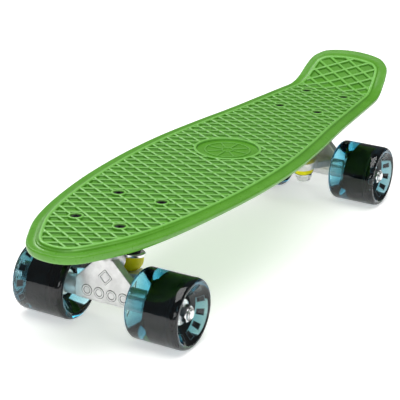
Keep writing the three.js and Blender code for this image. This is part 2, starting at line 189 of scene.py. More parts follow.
def prism(name, outline, low, high, edge=0.0):
    """An outline of (x, y) drawn up from low to high, with its rims drawn in by edge."""
    steps = [(low, 1.0), (low + edge, 0.0), (high - edge, 0.0), (high, 1.0)]
    if edge == 0:
        steps = [(low, 0.0), (high, 0.0)]
    middle = sum((Vector(p) for p in outline), Vector((0, 0))) / len(outline)
    count = len(outline)
    corners = []
    for z, inward in steps:
        for i, point in enumerate(outline):
            before, after = Vector(outline[i - 1]), Vector(outline[(i + 1) % count])
            along = (after - before).normalized()
            across = Vector((-along.y, along.x))
            if across.dot(middle - Vector(point)) < 0:
                across = -across
            corners.append((*(Vector(point) + across * edge * inward), z))
    faces = []
    for level in range(len(steps) - 1):
        for i in range(count):
            a, b = level * count + i, level * count + (i + 1) % count
            faces.append([a, b, b + count, a + count])
    faces.append(list(range(count)))
    faces.append([(len(steps) - 1) * count + i for i in range(count)])
    return closed_mesh(name, corners, faces)


def rounded_box(width, depth, corner):
    """The outline of a rounded rectangle."""
    x, y = width / 2, depth / 2
    return softened([(x, y, corner), (-x, y, corner), (-x, -y, corner), (x, -y, corner)], 6)


def applied(made):
    """Leaves the mesh that the object's modifiers make."""
    graph = bpy.context.evaluated_depsgraph_get()
    mesh = bpy.data.meshes.new_from_object(made.evaluated_get(graph))
    made.modifiers.clear()
    made.data = mesh
    return made


def combine(base, others, operation):
    """Joins, cuts or intersects base with each of the others, which are used up."""
    for other in others:
        modifier = base.modifiers.new("combine", "BOOLEAN")
        modifier.operation = operation
        modifier.solver = "MANIFOLD"
        modifier.object = other
        applied(base)
        bpy.data.objects.remove(other)
    return base


def joined(base, *others):
    return combine(base, others, "UNION")


def cut(base, *others):
    return combine(base, others, "DIFFERENCE")


def cast(made, voxel, rounds):
    """Gives a casting its soft edges: an even skin of small faces, smoothed a few times."""
    remesh = made.modifiers.new("skin", "REMESH")
    remesh.mode = "VOXEL"
    remesh.voxel_size = voxel
    smooth = made.modifiers.new("soften", "SMOOTH")
    smooth.factor = 0.5
    smooth.iterations = rounds
    return applied(made)


def threaded(name, radius, pitch, low, high, depth=0.35, sides=SMALL):
    """A screw thread about Z that fades out at both ends."""
    rows = int((high - low) / pitch * 8)
    corners = []
    for row in range(rows + 1):
        z = low + (high - low) * row / rows
        fade = min(1.0, (z - low) / pitch, (high - z) / pitch)
        for k in range(sides):
            turn = k / sides
            wave = 0.5 + 0.5 * math.cos(2 * math.pi * (z / pitch - turn))
            r = radius - depth * (1 - fade) - depth * fade * wave
            a = 2 * math.pi * turn
            corners.append((r * math.cos(a), r * math.sin(a), z))
    faces = []
    for row in range(rows):
        for k in range(sides):
            a, b = row * sides + k, row * sides + (k + 1) % sides
            faces.append([a, b, b + sides, a + sides])
    faces.append(list(range(sides)))
    faces.append([rows * sides + k for k in range(sides)])
    return closed_mesh(name, corners, faces)


def finished(made, name, node, body, coat, matrix=None, crease=32):
    """Puts a piece in the row frame, in metres, and lets it stand for a CAD node."""
    made.name = name
    if matrix is not None:
        made.data.transform(matrix)
    made.data.transform(Matrix.Scale(MM, 4))
    made.data.polygons.foreach_set("use_smooth", [True] * len(made.data.polygons))
    made.data.set_sharp_from_angle(angle=math.radians(crease))
    made.data.materials.clear()
    made.data.materials.append(coat)
    if node:
        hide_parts(node)
    if body:
        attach(made, body)
    return made


# ---------------------------------------------------------------- materials
class Material:
    """A material whose colour, roughness and bump come from noise in the piece's own coordinates."""

    def __init__(self, name):
        self.made = bpy.data.materials.new(name)
        self.made.use_nodes = True
        self.tree = self.made.node_tree
        self.shader = self.tree.nodes["Principled BSDF"]
        self.place = self.tree.nodes.new("ShaderNodeTexCoord")
        self.height = None

    def node(self, kind, **values):
        made = self.tree.nodes.new(kind)
        for name, value in values.items():
            if name in made.inputs:
                made.inputs[name].default_value = value
            else:
                setattr(made, name, value)
        return made

    def link(self, output, target):
        self.tree.links.new(output, target)

    def noise(self, scale, detail=3.0, stretch=None):
        """Noise with so many grains to the metre, drawn out along an axis by stretch."""
        made = self.node("ShaderNodeTexNoise", Scale=scale, Detail=detail)
        source = self.place.outputs["Object"]
        if stretch:
            mapping = self.node("ShaderNodeMapping", Scale=stretch)
            self.link(source, mapping.inputs["Vector"])
            source = mapping.outputs["Vector"]
        self.link(source, made.inputs["Vector"])
        return made.outputs["Fac"]

    def ramp(self, factor, low, high):
        made = self.node("ShaderNodeValToRGB")
        made.color_ramp.elements[0].position = 0.35
        made.color_ramp.elements[1].position = 0.65
        made.color_ramp.elements[0].color = (*low, 1)
        made.color_ramp.elements[1].color = (*high, 1)
        self.link(factor, made.inputs["Fac"])
        return made.outputs["Color"]

    def span(self, factor, low, high):
        made = self.node("ShaderNodeMapRange")
        made.inputs["From Min"].default_value = 0.3
        made.inputs["From Max"].default_value = 0.7
        made.inputs["To Min"].default_value = low
        made.inputs["To Max"].default_value = high
        self.link(factor, made.inputs["Value"])
        return made.outputs["Result"]

    def mixed(self, factor, first, second):
        made = self.node("ShaderNodeMix", data_type="RGBA")
        self.link(factor, made.inputs["Factor"])
        for socket, value in ((made.inputs[6], first), (made.inputs[7], second)):
            if isinstance(value, tuple):
                socket.default_value = (*value, 1)
            else:
                self.link(value, socket)
        return made.outputs[2]

    def bump(self, factor, distance, strength=1.0):
        made = self.node("ShaderNodeBump", Distance=distance, Strength=strength)
        self.link(factor, made.inputs["Height"])
        if self.height is not None:
            self.link(self.height, made.inputs["Normal"])
        self.height = made.outputs["Normal"]
        self.link(self.height, self.shader.inputs["Normal"])

    def set(self, **values):
        for name, value in values.items():
            socket = self.shader.inputs[name.replace("_", " ")]
            if hasattr(value, "links"):
                self.link(value, socket)
            else:
                socket.default_value = (*value, 1) if isinstance(value, tuple) else value
        return self


def deck_plastic():
    m = Material("deck_plastic")
    mottle = m.noise(60, 4)
    green = m.ramp(mottle, (0.092, 0.312, 0.020), (0.110, 0.352, 0.027))
    # Painted highlight: the rib crests and the medallion are coloured lighter where light would catch them.
    painted_highlight = m.node("ShaderNodeAttribute", attribute_name="painted_highlight").outputs["Fac"]
    # Painted shade: the pocket walls are coloured darker, as if in shadow.
    painted_wall_shade = m.node("ShaderNodeAttribute", attribute_name="painted_wall_shade").outputs["Fac"]
    shaded = m.mixed(painted_wall_shade, green, (0.040, 0.165, 0.006))
    # Mixes the painted highlight into the colour.
    highlighted = m.mixed(painted_highlight, shaded, (0.25, 0.62, 0.13))
    m.set(Base_Color=highlighted, Roughness=m.span(m.noise(420, 4), 0.26, 0.38))
    m.bump(m.noise(1800, 2), 0.00004, 0.5)
    m.bump(m.noise(90, 2), 0.0002, 0.25)
    # The painted-shade mask also dulls the specular on the pocket walls.
    m.set(Specular_IOR_Level=m.span(painted_wall_shade, 0.5, 0.1))
    return m.made


def urethane():
    m = Material("wheel_urethane")
    cloud = m.ramp(m.noise(45, 3), (0.86, 0.96, 0.97), (0.97, 1.0, 1.0))
    # Painted shade: the dished outer face is coloured darker, standing in for the shade of the black core
    # behind it.
    painted_dish_shade = m.node("ShaderNodeAttribute", attribute_name="painted_dish_shade").outputs["Fac"]
    m.set(Base_Color=m.mixed(painted_dish_shade, cloud, (0.40, 0.55, 0.60)))
    m.set(Roughness=m.span(m.noise(300, 3), 0.0, 0.03))
    m.set(Transmission_Weight=1.0, IOR=1.5)
    m.bump(m.noise(40, 1), 0.0001, 0.12)
    absorb = m.node("ShaderNodeVolumeAbsorption", Density=74.0)
    absorb.inputs["Color"].default_value = (0.08, 0.66, 0.77, 1)
    output = m.tree.nodes["Material Output"]
    m.link(absorb.outputs["Volume"], output.inputs["Volume"])
    return m.made


def rubbery(name, low, high, roughness, grain, shine=0.5):
    m = Material(name)
    m.set(Base_Color=m.ramp(m.noise(110, 4), low, high), Specular_IOR_Level=shine)
    m.set(Roughness=m.span(m.noise(grain, 3), *roughness))
    m.bump(m.noise(grain * 2, 2), 0.00005, 0.5)
    return m.made


def cast_metal(name, low, high, roughness, metallic):
    m = Material(name)
    m.set(Base_Color=m.ramp(m.noise(130, 5), low, high), Metallic=metallic)
    m.set(Roughness=m.span(m.noise(500, 4), *roughness))
    m.bump(m.noise(1100, 3), 0.00009, 0.6)
    m.bump(m.noise(140, 2), 0.0003, 0.2)
    return m.made


def bright_metal(name, low, high, roughness, stretch):
    """Turned or plated metal, with fine tool lines across the stretched axis."""
    m = Material(name)
    m.set(Base_Color=m.ramp(m.noise(200, 4), low, high), Metallic=1.0)
    lines = m.noise(260, 4, stretch)
    m.set(Roughness=m.span(lines, *roughness))
    m.bump(lines, 0.00003, 0.4)
    return m.made


GREEN = deck_plastic()
TEAL = urethane()
CORE = rubbery("wheel_core", (0.003, 0.004, 0.005), (0.008, 0.009, 0.011), (0.45, 0.6), 600, 0.03)
YELLOW = rubbery("bushing_yellow", (0.80, 0.73, 0.002), (0.92, 0.84, 0.006), (0.35, 0.5), 500, 0.25)
CUP_BLACK = rubbery("pivot_cup_black", (0.01, 0.01, 0.01), (0.025, 0.025, 0.025), (0.5, 0.65), 500)
NYLON = rubbery("nylon_insert", (0.55, 0.55, 0.53), (0.68, 0.68, 0.65), (0.4, 0.55), 500)
HANGER_METAL = cast_metal("truck_aluminium", (0.68, 0.67, 0.67), (0.82, 0.81, 0.81), (0.28, 0.44), 0.6)
RAISED_METAL = cast_metal("raised_aluminium", (0.86, 0.85, 0.85), (0.95, 0.94, 0.94), (0.3, 0.45), 0.3)
PAINT = rubbery("print_black", (0.008, 0.008, 0.010), (0.02, 0.02, 0.024), (0.4, 0.6), 700)
PALE_INK = rubbery("print_pale", (0.16, 0.22, 0.24), (0.26, 0.33, 0.35), (0.4, 0.6), 700)
PLATE_BLACK = cast_metal("baseplate_black", (0.012, 0.012, 0.013), (0.024, 0.024, 0.026), (0.34, 0.5), 0.25)
STEEL = bright_metal("bright_steel", (0.72, 0.72, 0.73), (0.86, 0.86, 0.87), (0.12, 0.26), (1, 12, 1))
ZINC = bright_metal("zinc_steel", (0.60, 0.60, 0.61), (0.74, 0.74, 0.74), (0.24, 0.40), (6, 6, 1))
BOLT_BLACK = rubbery("black_bolt", (0.003, 0.003, 0.004), (0.008, 0.008, 0.009), (0.45, 0.6), 900, 0.15)


# ---------------------------------------------------------------- the deck's curved frame
def bend(s, w, h):
    """s runs along the deck's curved middle line, w across it and h up from the bead's crest."""
    past = KICK_START - s
    turn = min(max(past, 0) / KICK_RADIUS, KICK_ANGLE)
    straight = max(past - KICK_RADIUS * KICK_ANGLE, 0)
    x = max(s, KICK_START) - KICK_RADIUS * math.sin(turn) - straight * math.cos(turn)
    z = DECK_TOP + KICK_RADIUS * (1 - math.cos(turn)) + straight * math.sin(turn)
    return Vector((x + h * math.sin(turn), w, z + h * math.cos(turn)))


def height_above(point):
    """The h that bend() was given for a point of the deck."""
    arc = Vector((KICK_START, 0, DECK_TOP + KICK_RADIUS))
    turn = math.atan2(arc.x - point.x, arc.z - point.z)
    if point.x >= KICK_START:
        return point.z - DECK_TOP
    if turn <= KICK_ANGLE:
        return KICK_RADIUS - math.hypot(arc.x - point.x, arc.z - point.z)
    normal = Vector((math.sin(KICK_ANGLE), 0, math.cos(KICK_ANGLE)))
    return (point - arc).dot(normal) + KICK_RADIUS


def tail_end():
    bend_run = KICK_RADIUS * math.sin(KICK_ANGLE)
    lip_run = TAIL_REACH * math.sin(KICK_ANGLE)
    straight = LENGTH / 2 + KICK_START - bend_run - lip_run
    return KICK_START - KICK_RADIUS * KICK_ANGLE - straight / math.cos(KICK_ANGLE)


def through(points, per_span):
    """A closed centripetal Catmull-Rom curve through the points."""
    count = len(points)
    curve = []
    for i in range(count):
        p0, p1, p2, p3 = (points[(i + k) % count] for k in (-1, 0, 1, 2))
        d0, d1, d2 = (max((b - a).length, 1e-6) ** 0.5 for a, b in ((p0, p1), (p1, p2), (p2, p3)))
        m1 = ((p1 - p0) / d0 - (p2 - p0) / (d0 + d1) + (p2 - p1) / d1) * d1
        m2 = ((p2 - p1) / d1 - (p3 - p1) / (d1 + d2) + (p3 - p2) / d2) * d1
        for k in range(per_span):
            t = k / per_span
            a, b = 2 * t**3 - 3 * t**2 + 1, t**3 - 2 * t**2 + t
            c, d = -2 * t**3 + 3 * t**2, t**3 - t**2
            curve.append(p1 * a + m1 * b + p2 * c + m2 * d)
    return curve


def evenly(curve, count):
    """Points at equal steps along a closed curve, from its first point."""
    lengths = [0.0]
    for i, point in enumerate(curve):
        lengths.append(lengths[-1] + (curve[(i + 1) % len(curve)] - point).length)
    spaced, span = [], 0
    for i in range(count):
        target = lengths[-1] * i / count
        while lengths[span + 1] < target:
            span += 1
        share = (target - lengths[span]) / (lengths[span + 1] - lengths[span])
        spaced.append(curve[span].lerp(curve[(span + 1) % len(curve)], share))
    return spaced


def outline():
    """The deck's outline at the middle of its lip, as (s, w), from the nose round the left side."""
    end = tail_end()
    side = [
        (284, 14.5), (276, 24.8), (257, 36.4), (233, 47.9), (205, 56.5), (170, 63.8), (120, 70.7),
        (60, 74.6), (0, 73.9), (-60, 68.4), (-120, 60.7), (-180, 54.8), (-225, 50.4),
        (end + 38, TAIL_HALF_WIDTH + 1.2),
    ]
    for degrees in (0, 30, 60, 80):
        a = math.radians(degrees)
        s = end + TAIL_CROWN + TAIL_CORNER * (1 - math.sin(a))
        side.append((s, TAIL_HALF_WIDTH - TAIL_CORNER * (1 - math.cos(a))))
    side.append((end + TAIL_CROWN / 5, 11))
    mirrored = [(s, -w) for s, w in reversed(side)]
    whole = [(LENGTH / 2, 0), *side, (end, 0), *mirrored]
    return evenly(through([Vector(p) for p in whole], 24), OUTLINE_SAMPLES)


OUTLINE = outline()
INWARD = []
for i, point in enumerate(OUTLINE):
    step = (OUTLINE[(i + 1) % OUTLINE_SAMPLES] - OUTLINE[i - 1]).normalized()
    INWARD.append(Vector((-step.y, step.x)))


def inset(distance):
    return [p + distance * n for p, n in zip(OUTLINE, INWARD)]


# The section as (inset, height, rounding): pocket wall, bead, groove, rim, lip and underside.
RIM = [
    (13.7, FLOOR, 0.3), (12.5, -0.1, 0.9), (11.3, 0.12, 0.7), (10.1, -0.1, 0.9), (9.1, -2.0, 1.0),
    (6.2, -2.6, 2.0), (3.0, -2.3, 1.6), (0, -2.1, 1.5), (0.1, -5.2, 1.9), (2.2, -7.3, 1.8),
    (6.2, -7.3, 0.8), (7.8, SKIN_UNDERSIDE, 0.8),
]


def rim_height(distance, h, s):
    """Outside the bead the rim drops further towards the nose."""
    if distance > 7.9:
        return h
    return h * (1 + NOSE_DROP * smoothstep(s, 110, 270))


def deck_skin():
    corners = []
    section = softened(RIM, 4)
    for distance, h in section:
        for p, n in zip(OUTLINE, INWARD):
            q = p + distance * n
            corners.append(bend(q.x, q.y, rim_height(distance, h, p.x)))
    count = OUTLINE_SAMPLES
    faces = []
    for ring in range(len(section) - 1):
        for i in range(count):
            a, b = ring * count + i, ring * count + (i + 1) % count
            faces.append([a, b, b + count, a + count])
    under = (len(section) - 1) * count
    for i in range(count // 2):
        right, right_next = (count - i) % count, count - i - 1
        faces.append([i, i + 1, right_next, right])
        faces.append([under + i, under + i + 1, under + right_next, under + right])
    return closed_mesh("deck", corners, faces)


def crossings(origin, direction, loop):
    """Where a line through origin crosses a closed loop, as distances along it."""
    normal = Vector((-direction.y, direction.x))
    found = []
    for i, a in enumerate(loop):
        b = loop[(i + 1) % len(loop)]
        da, db = (a - origin).dot(normal), (b - origin).dot(normal)
        if (da < 0) != (db < 0):
            found.append((a.lerp(b, da / (da - db)) - origin).dot(direction))
    return sorted(found)


# A rib's section as (offset across it, height).
RIB_SECTION = [
    (-RIB_HALF - 0.5, FLOOR - 0.7), (-RIB_HALF - 0.35, FLOOR), (-RIB_HALF, FLOOR + 0.25),
    (-RIB_HALF + 0.35, RIB_TOP - 0.5), (-RIB_HALF + 0.75, RIB_TOP - 0.15), (-0.4, RIB_TOP), (0.4, RIB_TOP),
    (RIB_HALF - 0.75, RIB_TOP - 0.15), (RIB_HALF - 0.35, RIB_TOP - 0.5), (RIB_HALF, FLOOR + 0.25),
    (RIB_HALF + 0.35, FLOOR), (RIB_HALF + 0.5, FLOOR - 0.7),
]


def bars(name, section, spacing, angle, loop, step):
    """Parallel bars at an angle to the board, which run from one side of the loop to the other."""
    direction = Vector((math.cos(angle), math.sin(angle)))
    across = Vector((-direction.y, direction.x))
    corners, faces = [], []
    reach = int(LENGTH / spacing) + 2
    width = len(section)
    for number in range(-reach, reach):
        origin = Vector((number * spacing, 0))
        runs = [crossings(origin + u * across, direction, loop) for u, _ in section]
        if any(len(run) != 2 for run in runs):
            continue
        if min(run[1] - run[0] for run in runs) < 2.5:
            continue
        longest = max(run[1] - run[0] for run in runs)
        slices = max(2, int(longest / step))
        first = len(corners)
        for k in range(slices + 1):
            for (u, h), run in zip(section, runs):
                q = origin + u * across + direction * (run[0] + (run[1] - run[0]) * k / slices)
                corners.append(bend(q.x, q.y, h))
        for k in range(slices):
            for i in range(width):
                a = first + k * width + i
                b = first + k * width + (i + 1) % width
                faces.append([a, b, b + width, a + width])
        faces.append([first + i for i in range(width)])
        faces.append([first + slices * width + i for i in range(width)])
    return closed_mesh(name, corners, faces)


def bolt_places():
    return [(x, y) for x in (-PATTERN_X / 2, PATTERN_X / 2) for y in (-PATTERN_Y / 2, PATTERN_Y / 2)]


def truck_x(end):
    low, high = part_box(f"{end}_axle")
    return (low.x + high.x) / 2 / MM


def pad_centre(end):
    x = truck_x(end)
    return x - math.copysign(PATTERN_SETBACK, x)


def within_bead(point):
    """Whether a point of the deck lies inside the bead, judged by the outline beside it."""
    if point.x < KICK_START:
        return abs(point.y) < TAIL_HALF_WIDTH - 12
    nearest = min(OUTLINE, key=lambda p: abs(p.x - point.x) + (0 if p.y > 0 else LENGTH))
    return abs(point.y) < nearest.y - 12.6


def emblem():
    """A plain raised wheel of spokes inside the medallion."""
    crest = FLOOR + 0.75
    made = None
    for radius in (5.0, 20.5):
        hoop = [(radius - 0.7, FLOOR - 0.5), (radius + 0.7, FLOOR - 0.5), (radius + 0.5, crest, 0.3),
                (radius - 0.5, crest, 0.3)]
        hoop = turned("hoop", softened(hoop), SMALL)
        made = joined(made, hoop) if made else hoop
    for number in range(8):
        spoke = prism("spoke", rounded_box(13, 1.3, 0.6), FLOOR - 0.5, crest, 0.25)
        placed(spoke, Matrix.Rotation(number * math.pi / 4, 4, "Z") @ Matrix.Translation((12.5, 0, 0)))
        joined(made, spoke)
    return made


def add_waffle(deck):
    """The crossing ribs of the standing surface, which stop at the medallion."""
    reach = MEDALLION_INNER + 1.2
    disc = [(0, FLOOR - 0.4), (reach, FLOOR - 0.4), (reach, 3), (0, 3)]
    for angle in (RIB_ANGLE, -RIB_ANGLE):
        ribs = bars("ribs", RIB_SECTION, RIB_PITCH, angle, inset(POCKET_INSET), RIB_SLICE)
        clear = placed(turned("disc", disc), ON_MEDALLION)
        joined(deck, cut(ribs, clear))


def add_medallion(deck):
    base = FLOOR - 0.6
    ring = softened([
        (MEDALLION_INNER, base), (MEDALLION_RADIUS, base),
        (MEDALLION_RADIUS, 0.0, 0.9), (MEDALLION_INNER, 0.0, 0.9),
    ])
    joined(deck, placed(turned("ring", ring), ON_MEDALLION))
    joined(deck, placed(emblem(), ON_MEDALLION))


def add_stiffeners(deck):
    """The wide lattice of ribs under the deck."""
    root = SKIN_UNDERSIDE + 0.5
    section = [(-1.2, root), (-0.8, STIFFENER_BOTTOM), (0.8, STIFFENER_BOTTOM), (1.2, root)]
    for angle in (RIB_ANGLE, -RIB_ANGLE):
        lattice = bars("stiffeners", section, 3 * RIB_PITCH, angle, inset(STIFFENER_INSET), STIFFENER_SLICE)
        joined(deck, lattice)


def add_bolt_pad(deck, centre):
    """Adds one truck's pad and bosses, and returns the holes to be cut through them."""
    plate = rounded_box(PLATE_LENGTH + 4, PLATE_WIDTH + 4, 8)
    pad = prism("pad", plate, PAD_FACE, DECK_TOP + SKIN_UNDERSIDE + 1, 0.8)
    joined(deck, placed(pad, Matrix.Translation((centre, 0, 0))))
    boss = softened([(0, FLOOR - 1), (BOSS_RADIUS, FLOOR - 1), (BOSS_RADIUS, 0, 0.7), (0, 0)])
    below = PAD_FACE - DECK_TOP - 1
    mouth = COUNTERBORE + 0.4
    hole = [
        (0, below), (BOLT_HOLE, below), (BOLT_HOLE, -COUNTERBORE_DEPTH),
        (COUNTERBORE, -COUNTERBORE_DEPTH), (COUNTERBORE, -0.3), (mouth, 0.1), (mouth, 2), (0, 2),
    ]
    holes = []
    for x, y in bolt_places():
        spot = Matrix.Translation((centre + x, y, DECK_TOP))
        joined(deck, placed(turned("boss", boss, SMALL), spot))
        holes.append(placed(turned("hole", hole, SMALL), spot))
    return holes


def mark_shading(deck):
    """Paints highlight on the crests and the medallion, and shade on the pocket walls, into the plastic's
    colour.
    """
    vertices = deck.data.vertices
    heights = [height_above(v.co) for v in vertices]
    # Painted highlight on the rib crests.
    crests = [0.7 * smoothstep(h, -1.0, -0.1) for h in heights]
    disc_height = DECK_TOP + FLOOR
    # Painted highlight on the medallion disc, stronger on its raised emblem.
    for v in vertices:
        on_disc = (v.co - MEDALLION).xy.length < MEDALLION_INNER and v.co.z > disc_height - 0.1
        if on_disc:
            crests[v.index] = 0.15 + 0.4 * smoothstep(v.co.z, disc_height + 0.3, disc_height + 0.7)
    # Painted shade on the pocket walls, weaker on the kick.
    walls = []
    for v, h in zip(vertices, heights):
        is_wall = FLOOR + 0.1 < h < RIB_TOP - 0.4 and within_bead(v.co)
        on_kick = smoothstep(KICK_START - v.co.x, 0, 15)
        walls.append(0.6 * (1 - 0.75 * on_kick) if is_wall else 0.0)
    for name, values in (("painted_highlight", crests), ("painted_wall_shade", walls)):
        attribute = deck.data.attributes.new(name, "FLOAT", "POINT")
        attribute.data.foreach_set("value", values)


def deck_piece():
    deck = deck_skin()
    add_waffle(deck)
    add_stiffeners(deck)
    add_medallion(deck)
    holes = add_bolt_pad(deck, pad_centre("front")) + add_bolt_pad(deck, pad_centre("rear"))
    cut(deck, *holes)
    deck.data.validate()
    mark_shading(deck)
    finished(deck, "deck_moulding", "deck", "deck_body", GREEN, crease=30)


# ---------------------------------------------------------------- trucks
def truck_matrix(end):
    x = truck_x(end)
    facing = 0 if x > 0 else math.pi
    return Matrix.Translation((x, 0, 0)) @ Matrix.Rotation(facing, 4, "Z")


AXLE_LINE = Matrix.Translation((0, 0, AXLE_HEIGHT)) @ Matrix.Rotation(math.radians(90), 4, "X")
# Turns outlines of (y, z) to face +X.
FACING_X = Matrix(((0, 0, 1, 0), (1, 0, 0, 0), (0, 1, 0, 0), (0, 0, 0, 1)))
# Turns outlines of (x, z) to be drawn along +Y.
ALONG_Y = Matrix(((1, 0, 0, 0), (0, 0, 1, 0), (0, 1, 0, 0), (0, 0, 0, 1)))


def bolt_spot(number):
    x, y = bolt_places()[number]
    return Matrix.Translation((x - PATTERN_SETBACK, y, 0))


def baseplate_piece(end):
    plan = rounded_box(PLATE_LENGTH, PLATE_WIDTH, 7)
    plate = prism("plate", plan, PLATE_TOP - PLATE_THICK, PLATE_TOP, 0.5)
    placed(plate, Matrix.Translation((-PATTERN_SETBACK, 0, 0)))
    seat = turned("seat", [(0, 20.4), (9.8, 20.4), (14, 38), (14, 45), (0, 45)])
    housing = turned("housing", [(0, -2), (10.4, -2), (11.2, 3), (11.2, 13), (0, 13)])
    rib = prism("rib", rounded_box(24, 6, 1), 75.7, 84)
    placed(rib, Matrix.Translation((-10, 0, 0)))
    joined(plate, placed(seat, ALONG_KINGPIN), placed(housing, ALONG_PIVOT), rib)
    above = prism("above", rounded_box(120, 80, 1), PLATE_TOP, PLATE_TOP + 20)
    cut(plate, above)
    cast(plate, 0.7, 3)
    openings = [
        placed(rod("bore", 5.2, 19, 60), ALONG_KINGPIN),
        placed(rod("head", 9.6, 39.9, 60), ALONG_KINGPIN),
        placed(rod("cup", 8.65, -3, 8.3), ALONG_PIVOT),
    ]
    for number in range(4):
        openings.append(placed(rod("hole", BOLT_HOLE, 80, 90, 32), bolt_spot(number)))
    cut(plate, *openings)
    finished(plate, f"{end}_baseplate_casting", f"{end}_baseplate", "deck_body",
             PLATE_BLACK, truck_matrix(end))


def pivot_cup_piece(end):
    profile = softened([
        (6.4, -2, 0.5), (8.4, -2, 0.6), (8.4, 8, 1.0), (0, 8), (0, 6), (4.4, 6, 0.8), (6.4, 4, 0.8),
    ])
    cup = turned("cup", profile)
    finished(cup, f"{end}_pivot_cup_seat", f"{end}_pivot_cup", "deck_body", CUP_BLACK,
             truck_matrix(end) @ ALONG_PIVOT)


def motif():
    """A row of rings and a diamond, as closed loops of (y, z) on the hanger's face."""
    shapes = []
    for y in (-17.4, -5.8, 5.8, 17.4):
        around = [Vector((y + 3.9 * math.cos(a), 32 + 3.9 * math.sin(a))) for a in steps_round(32)]
        shapes.append(around)
    shapes.append(softened([(0, 41, 1), (5.6, 47, 1), (0, 53, 1), (-5.6, 47, 1)]))
    return shapes


def steps_round(count):
    return [2 * math.pi * k / count for k in range(count)]


def ridge(loop, width, low, high):
    """A closed ridge of the given width that follows a loop."""
    corners, faces = [], []
    count = len(loop)
    section = ((0, low), (0.12, high - 0.15), (0.3, high), (0.7, high), (0.88, high - 0.15), (1, low))
    middle = sum(loop, Vector((0, 0))) / count
    for share, z in section:
        for point in loop:
            out = (point - middle).normalized()
            corners.append((*(point + out * (share - 0.5) * width), z))
    rows = len(section)
    for row in range(rows):
        for i in range(count):
            a, b = row * count + i, row * count + (i + 1) % count
            c, d = (row + 1) % rows * count + (i + 1) % count, (row + 1) % rows * count + i
            faces.append([a, b, c, d])
    return closed_mesh("ridge", corners, faces)


def hanger_piece(end):
    face = softened([
        (-PLATE_HALF, 24.3, 1.5), (PLATE_HALF, 24.3, 1.5), (PLATE_HALF, 41, 2.5), (6.7, 63.3, 1.5),
        (3.5, 62.8, 1.0), (0, 59.5, 1.5), (-3.5, 62.8, 1.0), (-6.7, 63.3, 1.5), (-PLATE_HALF, 41, 2.5),
    ])
    body = placed(prism("face", face, 0.5, 8.5), FACING_X)
    section = [(8.4, 24.4), (2, 20.5), (-6, 22), (-9.5, 29), (-7, 38), (8.4, 40)]
    beam = placed(prism("beam", section, -PLATE_HALF, PLATE_HALF), ALONG_Y)
    journal = placed(rod("journal", 8.5, -HANGER_HALF, HANGER_HALF), AXLE_LINE)
    nose = [(0, -26), (9.5, -26), (7.5, -13), (6, -6), (6, 2.5, 2), (4.4, 5, 1), (0, 5.4)]
    stem = placed(turned("stem", softened(nose)), ALONG_PIVOT)
    ring = placed(rod("ring", 14.5, -4, 4, FINE), ALONG_KINGPIN)
    arm = [(RING.x, -12), (2, -28), (2, 28), (RING.x, 12)]
    web = prism("web", arm, 32.5, 39.5)
    joined(body, beam, journal, stem, ring, web)
    scoop = placed(rod("scoop", 14.5, 4, 12), ALONG_KINGPIN)
    hollow = placed(rod("hollow", 12.8, -26, -4), ALONG_KINGPIN)
    cut(body, scoop, hollow)
    cast(body, 0.65, 4)
    hole = placed(rod("hole", 7.2, -8, 8), ALONG_KINGPIN)
    bore = placed(rod("bore", 4.2, -HANGER_HALF - 2, HANGER_HALF + 2, 32), AXLE_LINE)
    cut(body, hole, bore)
    moving = f"{end}_hanger_body"
    finished(body, f"{end}_hanger_casting", f"{end}_hanger", moving, HANGER_METAL,
             truck_matrix(end))
    spot = truck_matrix(end)
    for part, width, top, coat in (("ground", 3.0, 8.66, PAINT), ("motif", 1.7, 8.95, RAISED_METAL)):
        loops = [placed(ridge(loop, width, 8.1, top), FACING_X) for loop in motif()]
        finished(joined(*loops), f"{end}_hanger_{part}", None, moving, coat, spot)


def axle_piece(end):
    reach = AXLE_HALF - 11
    axle = rod("axle", AXLE_RADIUS, -reach, reach)
    for sign in (1, -1):
        screw = threaded("thread", AXLE_RADIUS, 1.06, reach - 1, AXLE_HALF)
        if sign < 0:
            placed(screw, Matrix.Rotation(math.pi, 4, "X"))
        joined(axle, screw)
    finished(axle, f"{end}_axle_rod", f"{end}_axle", f"{end}_hanger_body", STEEL,
             truck_matrix(end) @ AXLE_LINE)


def hex_blank(across, low, high, chamfer):
    """A hexagonal nut blank with its corners turned off at both ends."""
    corner = across / math.sqrt(3)
    points = [(corner * math.cos(a), corner * math.sin(a)) for a in steps_round(6)]
    blank = prism("nut", [Vector(p) for p in points], low, high)
    reach = across / 2 - 0.15
    barrel = [
        (0, low), (reach, low), (corner + 0.1, low + chamfer), (corner + 0.1, high - chamfer),
        (reach, high), (0, high),
    ]
    return combine(blank, [turned("barrel", barrel, SMALL)], "INTERSECT")


def lock_nut(across, low, high, bore, collar_height, collar_radius):
    """A lock nut with a rolled collar that holds its nylon ring, collar towards high."""
    nut = hex_blank(across, low, high - collar_height * 0.6, 0.9)
    collar = softened([
        (0, high - collar_height - 1), (collar_radius, high - collar_height - 1),
        (collar_radius, high, 1.1),
        (bore + 1.2, high, 0.4), (bore + 1.2, high - 1.2), (0, high - 1.2),
    ])
    joined(nut, turned("collar", collar, SMALL))
    cut(nut, rod("bore", bore, low - 1, high + 1))
    return nut


def nylon_ring(bore, low, high, radius):
    profile = softened([(bore, low), (radius, low), (radius, high, 0.2), (bore, high, 0.3)])
    return turned("nylon", profile, SMALL)


